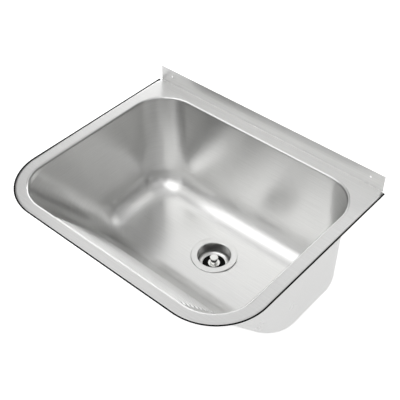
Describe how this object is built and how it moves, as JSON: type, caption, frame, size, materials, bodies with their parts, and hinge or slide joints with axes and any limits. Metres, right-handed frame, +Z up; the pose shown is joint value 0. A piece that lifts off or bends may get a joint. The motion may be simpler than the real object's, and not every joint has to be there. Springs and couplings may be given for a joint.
{
  "type": "mop service sink",
  "caption": "Wall-fixed stainless steel tub with a rear upstand, one deep bowl with a sloped ribbed front wall, a basket waste and a lift-out stopper.",
  "frame": {"origin": "midway between the two screw holes, on the back face of the upstand", "axes": "+X along the wall, +Y into the wall, +Z up"},
  "size_m": [0.6146, 0.5043, 0.444],
  "materials": {
    "sheet_steel": "fine satin brushed",
    "waste_steel": "bright turned",
    "knob_steel": "polished",
    "black_rubber": "matt",
    "damping_rubber": "matt",
    "white_plastic": "moulded",
    "fibre": "pressed fibre"
  },
  "bodies": {
    "tub": {"bowl": "sheet_steel", "deck": "sheet_steel", "rear_upstand": "sheet_steel", "edge_seal": "black_rubber", "sound_pads": "damping_rubber", "waste_body": "waste_steel", "top_gasket": "black_rubber", "under_gasket": "black_rubber", "friction_washer": "fibre", "lock_nut": "white_plastic", "strainer_plate": "waste_steel", "tailpiece_washer": "black_rubber", "tailpiece": "waste_steel", "coupling_nut": "white_plastic"},
    "stopper": {"stopper_disc": "black_rubber", "stopper_ring": "knob_steel", "stopper_knob": "knob_steel", "stopper_stem": "knob_steel", "stopper_washer": "knob_steel", "stopper_nut": "knob_steel"}
  },
  "joints": [
    {"name": "stopper_lift", "type": "slide", "parent": "tub", "child": "stopper", "axis": [0, 0, 1], "range_m": [0, 0.075]}
  ]
}
